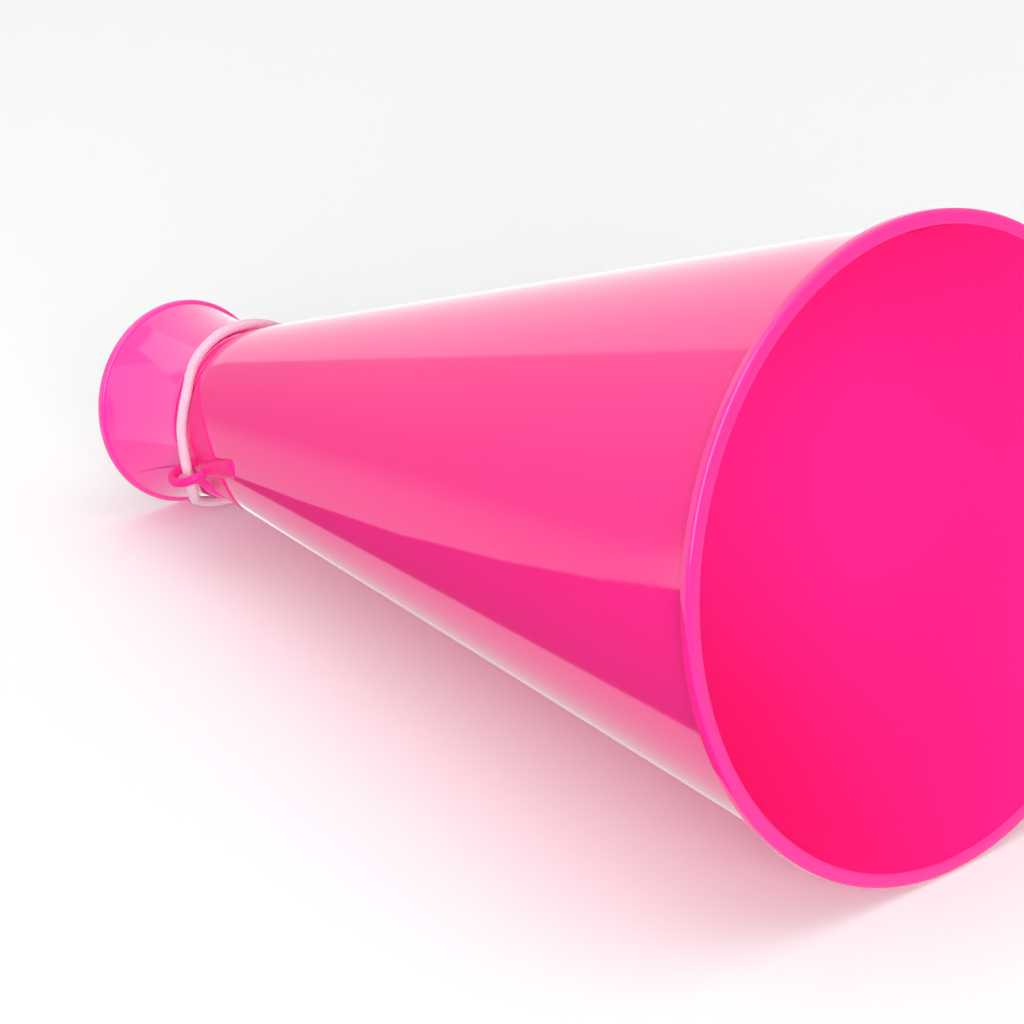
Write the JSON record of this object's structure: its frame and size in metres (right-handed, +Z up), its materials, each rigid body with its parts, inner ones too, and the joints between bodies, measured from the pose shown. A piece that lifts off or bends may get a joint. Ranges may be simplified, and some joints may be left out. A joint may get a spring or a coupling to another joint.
{
  "type": "cheer megaphone",
  "caption": "Hand-held cone megaphone for cheering: square bell rim, flared mouthpiece, eyelet and a cord lanyard, lying on its side.",
  "frame": {"origin": "middle of the megaphone's bounding box (without its lanyard) at the floor that it lies on, at the level of the bell rim's and the mouthpiece lip's lowest points", "axes": "+Z up, +X towards the bell; the horn's axis lies in the XZ plane and rises 9.27 degrees towards the bell; the eyelet is on the -Y side"},
  "size_m": [0.2582, 0.13, 0.1285],
  "materials": {
    "cone_pink": "glossy, slightly pearly moulded plastic",
    "mouthpiece_pink": "glossy moulded plastic, a little paler than the cone",
    "eyelet_pink": "satin moulded plastic",
    "lanyard_cord": "soft braided cord",
    "tie_white": "soft flat band"
  },
  "bodies": {
    "root": {"bell_cone": "cone_pink", "mouthpiece": "mouthpiece_pink", "lanyard_eyelet": "eyelet_pink", "neck_turn": "lanyard_cord", "lead_down": "lanyard_cord", "lead_back": "lanyard_cord", "lanyard_coil": "lanyard_cord", "lanyard_knot": "lanyard_cord", "coil_tie": "tie_white"}
  },
  "joints": []
}
